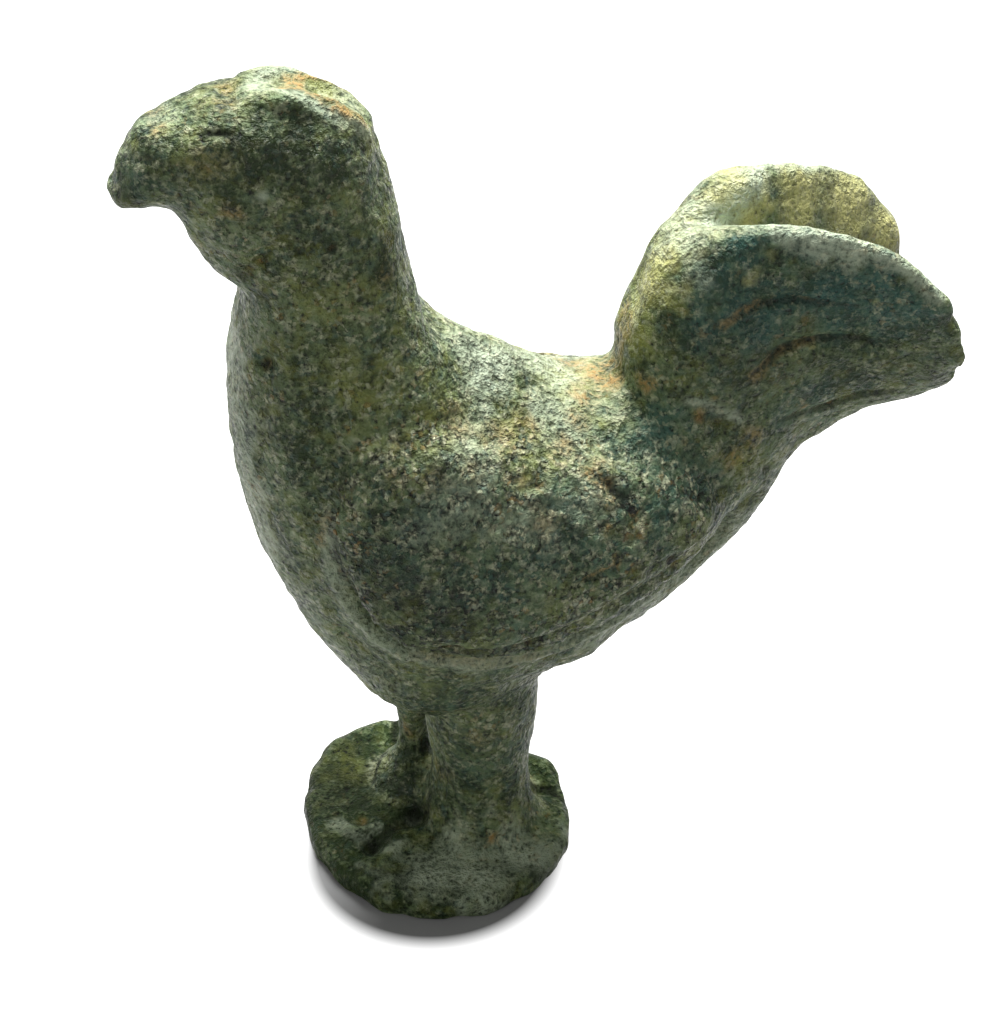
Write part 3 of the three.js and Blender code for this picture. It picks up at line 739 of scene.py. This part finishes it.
DEEP_GREEN_AND_SHADE_SPOTS = [  # where the green is darkest: partly its own deep green, partly painted shade on the head's sides, the wing's lower front, the tail's outer faces and the legs
    ((290, 145), 2.6, 0.9), ((335, 165), 2.0, 0.7), ((145, 165), 1.8, 0.8), ((215, 180), 2.0, 0.3),
    ((300, 230), 2.0, 0.3), ((365, 270), 1.6, 0.4), ((240, 240), 1.6, 0.4), ((390, 590), 3.6, 0.8),
    ((210, 115), 1.8, 0.5), ((250, 125), 1.6, 0.7), ((450, 620), 2.6, 0.6), ((350, 480), 1.6, 0.5),
    ((722, 280), 1.7, 0.9), ((800, 330), 4.0, 0.6), ((700, 335), 1.7, 0.8), ((745, 250), 1.5, 0.8),
    ((880, 310), 3.0, 0.6), ((760, 380), 2.6, 0.6), ((640, 500), 1.8, 0.5), ((450, 700), 2.4, 0.7),
    ((510, 700), 1.6, 0.6), ((300, 420), 2.2, 0.4), ((400, 780), 1.6, 0.8), ((640, 560), 2.0, 0.4),
    ((860, 300), 2.6, 0.7), ((920, 320), 2.2, 0.7), ((820, 275), 2.0, 0.6), ((900, 370), 2.4, 0.5),
    ((830, 385), 2.4, 0.5),
]
NO_DUST_OR_LIGHT_SPOTS = [  # where what faces up gets neither dust nor painted top light, and stays dark
    ((290, 128), 1.7, 1), ((335, 150), 1.3, 1), ((215, 112), 1.6, 1), ((180, 125), 1.4, 0.9),
    ((150, 140), 1.6, 1), ((250, 125), 1.5, 1), ((190, 105), 1.6, 0.9), ((400, 740), 2.0, 1),
    ((222, 104), 1.3, 0.9), ((160, 115), 1.3, 0.9), ((176, 102), 1.2, 0.9), ((205, 94), 1.2, 0.8),
    ((240, 97), 0.9, 0.6), ((275, 112), 1.0, 0.7), ((560, 520), 2.0, 0.5), ((680, 440), 2.2, 0.7),
    ((650, 480), 2.0, 0.5), ((820, 260), 1.6, 0.6), ((880, 290), 1.6, 0.6),
]
PLATE_LIT = [((455, 865), 4.5, 1), ((540, 830), 3.0, 0.9)]  # painted light: where the plate's front is a lighter green, as if lit, and is left out of the painted shadow
STAIN_SEED = 41
NO_DUST_OR_LIGHT_SEED = 61
DEEP_GREEN_AND_SHADE_SEED = 63
LIT_SEED = 65
SPOT_REACH = 1.3  # a spot ends this many radii from its middle
BAND_REACH = 1.5  # a line ends this many half widths from its middle
DUST_AND_LIGHT_FROM = (0.05, 0.35, 0.93)  # dust, wear and painted top light make paler what faces this way, towards the lamp above
DUST_AND_LIGHT_SPREAD = 6
CLOSE_ROUNDS = 3  # these find small hollows
BROAD_ROUNDS = 14  # and these find large ones


def stained(skin, places, seed, spots, lines=(), lone=False):
    """The strength of a set of stains at each point, on both flanks or one, broken up at their rims."""
    ragged = 1 + layered(lumps, skin.points, [(0.5, 1.6, seed), (0.35, 0.6, seed + 1)])
    strength = np.zeros(len(skin.points))
    for pixel, radius, amount in spots:
        spot = places.at(pixel)
        for middle in (spot,) if lone else places.both(spot):
            near = np.linalg.norm(skin.points - middle, axis=1) / radius
            strength = np.maximum(strength, amount * np.clip(SPOT_REACH - near * ragged, 0, 1))
    for pixels, half_width, amount in lines:
        for line in places.both_paths(places.path(pixels)):
            near = places.distance_to(line)[0] / half_width
            strength = np.maximum(strength, amount * np.clip(BAND_REACH - near * ragged, 0, 1))
    return strength


def hollowness(skin, rounds):
    """How far each point lies under its surroundings, below zero where it stands out."""
    return ((skin.smoothed(skin.points, rounds) - skin.points) * skin.normals).sum(1)


def paint_zones(skin, grain, plate):
    places = Places(skin)
    close, broad = hollowness(skin, CLOSE_ROUNDS), hollowness(skin, BROAD_ROUNDS)
    # painted top light: faces turned to the lamp above are made paler, together with the dust
    above = step_between(0.35, 1, skin.smoothed(skin.normals, DUST_AND_LIGHT_SPREAD) @ np.array(DUST_AND_LIGHT_FROM))
    no_dust_or_light = stained(skin, places, NO_DUST_OR_LIGHT_SEED, NO_DUST_OR_LIGHT_SPOTS)
    lit = stained(skin, places, LIT_SEED, PLATE_LIT)
    zones = {
        "grain": grain,
        "dust_and_top_light": above * (1 - no_dust_or_light) * (1 - plate),
        # the plate's top is painted dark as the bird's shadow, except where PLATE_LIT paints it lit
        "deep": np.maximum(stained(skin, places, DEEP_GREEN_AND_SHADE_SEED, DEEP_GREEN_AND_SHADE_SPOTS), plate * (1 - lit)),
        "hollow": 0.6 * step_between(0.004, 0.05, close) + 0.6 * step_between(0.01, 0.12, broad),
        "peak": 0.7 * step_between(0.004, 0.04, -close) + 0.4 * step_between(0.02, 0.12, -broad),
    }
    for number, (name, spots) in enumerate(STAIN_SPOTS.items()):
        seed = STAIN_SEED + 2 * number
        zones[name] = stained(skin, places, seed, spots, STAIN_LINES.get(name, ()), name in LONE_ZONES)
    return zones


# Parting the skin into its pieces

def votes_for_pieces(skin, points, triangles, owners):
    """How far each point belongs to each of PIECES, by the solid that lies nearest."""
    tree = BVHTree.FromPolygons(points.tolist(), triangles.tolist())
    nearest = owners[[tree.find_nearest(point)[2] for point in skin.points.tolist()]]
    return skin.smoothed(np.eye(len(PIECES))[nearest], OWNER_SPREAD)


def without_islands(quads, owner, count):
    """Gives each piece's stray patches to their neighbours, so that every piece is one patch."""
    owner = owner.copy()
    stray = np.zeros(len(quads), bool)
    for index in range(len(PIECES)):
        own = np.flatnonzero(owner == index)
        label = patch_labels(quads[own], count)
        stray[own] = label != np.bincount(label).argmax()
    votes = np.zeros((count, len(PIECES)))
    np.add.at(votes, (quads[~stray].ravel(), np.repeat(owner[~stray], 4)), 1)
    owner[stray] = votes[quads[stray]].sum(1).argmax(1)
    return owner


def border_loops(faces):
    """The closed loops of a patch's border, each as points in order along its faces' edges."""
    count = faces.max() + 1
    edges = np.concatenate([faces[:, [k, (k + 1) % 4]] for k in range(4)])
    keys = edges[:, 0].astype(np.int64) * count + edges[:, 1]
    twins = edges[:, 1].astype(np.int64) * count + edges[:, 0]
    border = edges[~np.isin(keys, twins)]
    following = {}
    for start, end in border.tolist():
        following.setdefault(start, []).append(end)
    loops = []
    while following:
        first = next(iter(following))
        loop, here = [], first
        while here in following:
            loop.append(here)
            ends = following[here]
            after = ends.pop()
            if not ends:
                del following[here]
            here = after
        loops.append(loop)
    return loops


def part_skin(skin, owner, zones):
    """Makes each piece a closed mesh: its patch of the skin, and a hidden face under each opening."""
    made = {}
    for index, name in enumerate(PIECES):
        patch = skin.quads[owner == index]
        used, place = np.unique(patch, return_inverse=True)
        faces = place.reshape(-1, 4)
        points, normals = skin.points[used], skin.normals[used]
        quads, fans, added = [faces], [], []
        count = len(points)
        for loop in border_loops(faces):
            loop = np.array(loop)
            inner = points[loop] - normals[loop] * CAP_DEPTH
            size = len(loop)
            ring = count + np.arange(size)
            after = np.roll(np.arange(size), -1)
            quads.append(np.stack([loop[after], loop, ring, ring[after]], 1))
            fans.append(np.stack([ring[after], ring, np.full(size, count + size)], 1))
            added += [inner, inner.mean(0, keepdims=True)]
            count += size + 1
        all_points = np.concatenate([points, *added])
        mesh = new_mesh(name + "_skin", all_points * MM, *quads, *fans)
        hidden = np.zeros((count - len(points), 3))
        mesh.normals_split_custom_set_from_vertices(np.concatenate([normals, hidden]).tolist())
        for zone, values in zones.items():
            layer = mesh.attributes.new(zone, "FLOAT", "POINT")
            filled = np.concatenate([values[used], np.zeros(count - len(points))])
            layer.data.foreach_set("value", filled.astype(np.float32))
        made[name] = mesh
    return made


# Materials

DEEP_GREEN = (0.024, 0.041, 0.013)
GREY_GREEN = (0.175, 0.235, 0.11)
OLIVE_AND_LIT = (0.64, 0.62, 0.26)
TEAL = (0.03, 0.11, 0.1)
YELLOW_GREEN = (0.27, 0.29, 0.065)
PALE_AND_HIGHLIT_GREEN = (0.5, 0.58, 0.42)
DUST_AND_TOP_LIGHT = (0.43, 0.47, 0.28)
BRIGHT_TEAL = (0.11, 0.2, 0.18)
PALE_GRAIN_AND_GLINT = (0.7, 0.72, 0.47)
ORANGE_DIRT = (0.42, 0.26, 0.09)
NEAR_BLACK = (0.008, 0.01, 0.006)
BARE_BRONZE = (0.35, 0.2, 0.07)
SHEEN = 0.15
SHEEN_OF = {"patina_plate": 0.05}  # slots whose sheen is another
BROAD_PATCHES = 3.5
MIDDLE_PATCHES = 1.2
FINE_PATCHES = 0.3
CROWDS = 0.7  # grains lie in crowds of about this size
GRANULE = 0.27


class Graph:
    """Adds nodes to a material or a world and joins them."""

    def __init__(self, owner):
        self.owner = owner
        owner.use_nodes = True
        self.tree = owner.node_tree
        self.tree.nodes.clear()

    def put(self, socket, value):
        if isinstance(value, bpy.types.NodeSocket):
            self.tree.links.new(value, socket)
        elif isinstance(value, tuple) and socket.type == "RGBA":
            socket.default_value = (*value, 1)
        else:
            socket.default_value = value

    def node(self, kind, inputs, **settings):
        made = self.tree.nodes.new(kind)
        for key, value in settings.items():
            setattr(made, key, value)
        for key, value in inputs.items():
            self.put(made.inputs[key], value)
        return made

    def joined(self, operation, values):
        """The values taken together, one after another."""
        total = values[0]
        for value in values[1:]:
            total = self.node("ShaderNodeMath", {0: total, 1: value}, operation=operation).outputs[0]
        return total

    def plus(self, *values):
        return self.joined("ADD", values)

    def times(self, *values):
        return self.joined("MULTIPLY", values)

    def largest(self, *values):
        return self.joined("MAXIMUM", values)

    def between(self, value, low, high, start=0.0, end=1.0):
        """Takes a value from the range low to high into the range start to end."""
        inputs = {"Value": value, "From Min": low, "From Max": high, "To Min": start, "To Max": end}
        return self.node("ShaderNodeMapRange", inputs, clamp=True).outputs[0]

    def mix(self, a, b, share):  # 6, 7 and 2 are the node's colour sockets
        return self.node("ShaderNodeMix", {0: share, 6: a, 7: b}, data_type="RGBA").outputs[2]

    def millimetres(self):
        return self.scaled(self.node("ShaderNodeTexCoord", {}).outputs["Object"], 1 / MM)

    def scaled(self, vector, scale):
        return self.node("ShaderNodeVectorMath", {0: vector, "Scale": scale}, operation="SCALE").outputs[0]

    def noise(self, place, size, detail=3.0, roughness=0.55):
        inputs = {"Vector": place, "Scale": 1 / size, "Detail": detail, "Roughness": roughness}
        return self.node("ShaderNodeTexNoise", inputs).outputs[0]

    def granules(self, place, size):
        """Grains of uneven shape: how far a point is from its grain's middle, and two random values."""
        bend = self.node("ShaderNodeTexNoise", {"Vector": place, "Scale": 0.8 / size, "Detail": 2})
        bent = self.scaled(bend.outputs[1], size * 1.2)
        moved = self.node("ShaderNodeVectorMath", {0: place, 1: bent}, operation="ADD").outputs[0]
        cell = self.node("ShaderNodeTexVoronoi", {"Vector": moved, "Scale": 1 / size})
        values = self.node("ShaderNodeSeparateColor", {0: cell.outputs["Color"]})
        return cell.outputs["Distance"], values.outputs[0], values.outputs[1]

    def zone(self, name):
        return self.node("ShaderNodeAttribute", {}, attribute_name=name).outputs["Fac"]

    def bump(self, height, reach, strength=1.0, normal=None):
        inputs = {"Height": height, "Distance": reach * MM, "Strength": strength}
        if normal is not None:
            inputs["Normal"] = normal
        return self.node("ShaderNodeBump", inputs).outputs[0]

    def finish(self, colour, roughness, normal, metallic, specular=0.5):
        inputs = {
            "Base Color": colour,
            "Roughness": roughness,
            "Normal": normal,
            "Metallic": metallic,
            "Specular IOR Level": specular,
        }
        shader = self.node("ShaderNodeBsdfPrincipled", inputs)
        self.node("ShaderNodeOutputMaterial", {"Surface": shader.outputs[0]})
        return self.owner


class Patina(Graph):
    """A patina laid on in layers, each of which covers a share of what lies under it. Some layers also
    carry painted light and shade.
    """

    def __init__(self, name):
        super().__init__(bpy.data.materials.new(name))
        self.place = self.millimetres()
        self.broad = self.noise(self.place, BROAD_PATCHES, 3)
        self.middle = self.noise(self.place, MIDDLE_PATCHES, 4, 0.6)
        self.fine = self.noise(self.place, FINE_PATCHES, 3, 0.6)
        self.mottled = self.plus(self.fine, self.middle)
        self.from_middle, self.chance, self.other = self.granules(self.place, GRANULE)
        crowded = self.between(self.noise(self.place, CROWDS, 2), 0.42, 0.57, 0.15, 1)
        self.grain = self.times(self.zone("grain"), crowded)
        self.level = self.plus(
            self.times(self.broad, 0.3),
            self.times(self.middle, 0.45),
            self.times(self.fine, 0.25),
            self.times(self.zone("peak"), 0.12),
            self.times(self.zone("hollow"), -0.12),
            # the deep zone: deep green, and painted shade where faces turn away from the lamp
            self.times(self.zone("deep"), -0.1),
        )
        self.colour = self.mix(DEEP_GREEN, GREY_GREEN, self.between(self.level, 0.41, 0.59))

    def cover(self, colour, *shares):
        self.colour = self.mix(self.colour, colour, self.times(*shares))

    def lay_tints(self):
        """Yellower and bluer patches, fewer in the teal and in the deep zone of deep green and painted
        shade.
        """
        lively = self.between(self.largest(self.zone("deep"), self.zone("teal")), 0, 1, 1, 0.25)
        greener = self.between(self.noise(self.place, 1.3), 0.5, 0.66, 0, 0.42)
        self.cover(YELLOW_GREEN, greener, lively)
        bluer = self.between(self.noise(self.place, 0.8), 0.54, 0.68, 0, 0.3)
        self.cover(BRIGHT_TEAL, bluer, lively)

    def lay_stains(self):
        """The teal, yellow and olive stains, the dust and the pale places. The olive is partly painted
        light, the dust comes with painted top light, and the pale places are partly wear and mostly painted
        highlights and reflections.
        """
        patches = self.between(self.middle, 0.35, 0.55, 0.3, 1)
        self.cover(TEAL, self.zone("teal"), patches, 0.8)
        self.cover(YELLOW_GREEN, self.zone("yellow"), patches, 0.9)
        # olive patina with painted light
        self.cover(OLIVE_AND_LIT, self.zone("olive_and_lit"), self.between(self.mottled, 0.6, 1.0, 0.55, 1))
        # dust together with painted top light on what faces the lamp, broken up in patches
        dust_and_light_breakup = self.between(self.mottled, 0.85, 1.15, 0.15, 1)
        self.cover(DUST_AND_TOP_LIGHT, self.zone("dust_and_top_light"), dust_and_light_breakup, self.between(self.chance, 0.1, 0.5, 0.6, 1))
        # painted highlights and reflections, with some worn pale patina
        self.cover(PALE_AND_HIGHLIT_GREEN, self.zone("pale_and_highlit"), self.between(self.mottled, 0.7, 1.05, 0.25, 1))

    def lay_grains(self):
        """Bright grains, partly painted highlights on their tops, painted glints, and blue and rusty
        grains, where the surface is coarse.
        """
        light = self.between(self.level, 0.42, 0.55, 0.1, 1)
        # bright grains: pale grain and painted highlight on the grains' tops
        self.cover(PALE_GRAIN_AND_GLINT, self.grain, self.between(self.chance, 0.56, 0.7, 0, 0.95), light)
        # painted glints: pale specks that stand in for sparkle
        self.cover(PALE_GRAIN_AND_GLINT, self.grain, self.between(self.fine, 0.54, 0.64, 0, 0.55))
        self.cover(BRIGHT_TEAL, self.grain, self.between(self.other, 0.72, 0.8, 0, 0.4))
        rusty = self.times(self.between(self.other, 0.16, 0.08), self.between(self.broad, 0.5, 0.6, 0, 0.6))
        self.cover(ORANGE_DIRT, self.grain, rusty)

    def lay_dirt_and_shade(self):
        """Orange dirt where it was stained and in hollows, black between grains and in holes, and the dark
        zone, which is partly dark patina and partly painted shade in crevices, grooves, the leg gap and
        under the wing's edge.
        """
        dirt = self.times(self.zone("orange"), self.between(self.mottled, 0.85, 1.15, 0.1, 0.9))
        patches = self.between(self.noise(self.place, 1.7), 0.52, 0.68, 0, 0.5)
        self.cover(ORANGE_DIRT, self.plus(dirt, self.times(self.zone("hollow"), patches)))
        gaps = self.times(self.grain, self.between(self.from_middle, 0.36, 0.7, 0, 0.7))
        smooth = self.largest(self.zone("dust_and_top_light"), self.zone("olive_and_lit"), self.zone("pale_and_highlit"))
        holes = self.times(self.between(self.fine, 0.4, 0.3), self.between(smooth, 0, 1, 0.65, 0.35))
        # the dark zone here is partly painted shade
        self.cover(NEAR_BLACK, self.plus(self.times(self.zone("dark"), 0.85), gaps, holes))

    def relief(self):
        rough = self.bump(self.middle, 0.35)
        rough = self.bump(self.from_middle, -0.16, self.grain, rough)
        return self.bump(self.fine, 0.4, self.between(self.grain, 0, 1, 0.6, 1), rough)


def patina(name, sheen):
    look = Patina(name)
    look.lay_tints()
    look.lay_stains()
    look.lay_grains()
    look.lay_dirt_and_shade()
    roughness = look.between(look.chance, 0.5, 0.9, 0.5, 0.3)
    return look.finish(look.colour, roughness, look.relief(), 0, sheen)


def bare_bronze():
    graph = Graph(bpy.data.materials.new("bare_bronze_look"))
    place = graph.millimetres()
    tone = graph.noise(place, 0.6, 5, 0.6)
    colour = graph.mix(BARE_BRONZE, DEEP_GREEN, graph.between(tone, 0.5, 0.75, 0, 0.7))
    return graph.finish(colour, graph.between(tone, 0.3, 0.7, 0.35, 0.6), graph.bump(tone, 0.05), 0.8)


# Stage

FLOOR_HALF = 3.0  # metres
FLOOR_WHITE = (0.38, 0.38, 0.38)
FLOOR_GLOW = 1.0
WORLD_FILL = 0.15
FLOOR_BOUNCE = 0.79  # how white the floor is in the light that it throws back at the object
GLOW_MIDDLE = (-1.0, -2.0, 0.0)  # the shadow shows round here, and fades to white between two distances
GLOW_START = 7.0
GLOW_END = 8.1
WHITE = (1.0, 1.0, 1.0)


def seen_directly(graph):
    """A socket that is 1 where the camera, a reflection or a clear piece shows the background."""
    rays = graph.node("ShaderNodeLightPath", {}).outputs
    return graph.largest(*(rays["Is %s Ray" % kind] for kind in ("Camera", "Glossy", "Transmission")))


def add_world():
    world = bpy.data.worlds.new("studio")
    graph = Graph(world)
    strength = graph.between(seen_directly(graph), 0, 1, WORLD_FILL, 1)
    background = graph.node("ShaderNodeBackground", {"Color": WHITE, "Strength": strength})
    graph.node("ShaderNodeOutputWorld", {"Surface": background.outputs[0]})
    bpy.context.scene.world = world


def add_floor():
    mesh = bpy.data.meshes.new("floor")
    corners = [(-1, -1), (1, -1), (1, 1), (-1, 1)]
    mesh.from_pydata([(x * FLOOR_HALF, y * FLOOR_HALF, 0) for x, y in corners], [], [(0, 1, 2, 3)])
    floor = bpy.data.objects.new("floor", mesh)
    bpy.context.scene.collection.objects.link(floor)
    graph = Graph(bpy.data.materials.new("floor"))
    seen = seen_directly(graph)
    bounced = tuple(FLOOR_BOUNCE * channel for channel in FLOOR_WHITE)
    diffuse = graph.node("ShaderNodeBsdfDiffuse", {"Color": graph.mix(bounced, FLOOR_WHITE, seen)})
    ends = {0: graph.millimetres(), 1: GLOW_MIDDLE}
    away = graph.node("ShaderNodeVectorMath", ends, operation="DISTANCE").outputs["Value"]
    strength = graph.times(seen, graph.between(away, GLOW_START, GLOW_END, 0, FLOOR_GLOW))
    glow = graph.node("ShaderNodeEmission", {"Color": WHITE, "Strength": strength})
    both = graph.node("ShaderNodeAddShader", {0: diffuse.outputs[0], 1: glow.outputs[0]})
    graph.node("ShaderNodeOutputMaterial", {"Surface": both.outputs[0]})
    mesh.materials.append(graph.owner)


# Lamps: place and size in millimetres, power in watts.
LAMPS = [
    ("lamp_above", (30, 105, 275), 170, 2.0),
    ("lamp_front", (-260, -300, 260), 300, 0.35),
]
LAMP_TARGET = (0, 0, 25)


def add_lamps():
    for name, place, size, watts in LAMPS:
        data = bpy.data.lights.new(name, "AREA")
        data.shape = "DISK"
        data.size = size * MM
        data.energy = watts
        lamp = bpy.data.objects.new(name, data)
        lamp.location = Vector(place) * MM
        towards = Vector(LAMP_TARGET) - Vector(place)
        lamp.rotation_euler = towards.to_track_quat("-Z", "Y").to_euler()
        bpy.context.scene.collection.objects.link(lamp)


# The scene

def main():
    add_camera()
    points, triangles, owners = node_solids()
    skin = fused_skin(points, triangles)
    skin.melt(MELT_ROUNDS)
    skin.move(np.full(len(skin.points), -SWELL))
    votes = votes_for_pieces(skin, points, triangles, owners)
    owner = without_islands(skin.quads, votes[skin.quads].mean(1).argmax(1), len(skin.points))
    soften_seams(skin, votes)
    carve(skin)
    grain = grain_of(skin, votes)
    plate = votes[:, list(PIECES).index("foot_plate")]
    roughen(skin, grain, plate)
    zones = paint_zones(skin, grain, plate)
    slots = sorted(set(PIECES.values()))
    looks = {slot: patina(slot + "_look", SHEEN_OF.get(slot, SHEEN)) for slot in slots}
    for name, mesh in part_skin(skin, owner, zones).items():
        piece = bpy.data.objects.new(name + "_skin", mesh)
        bpy.context.scene.collection.objects.link(piece)
        slot = PIECES[name]
        mesh.materials.append(looks[slot])
        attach(piece, "root")
        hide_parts(name)
    for name in HIDDEN_NODES:
        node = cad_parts[name]
        node.data.materials.clear()
        node.data.materials.append(bare_bronze())
    add_world()
    add_floor()
    add_lamps()
    bpy.context.scene.view_settings.view_transform = "Standard"


main()
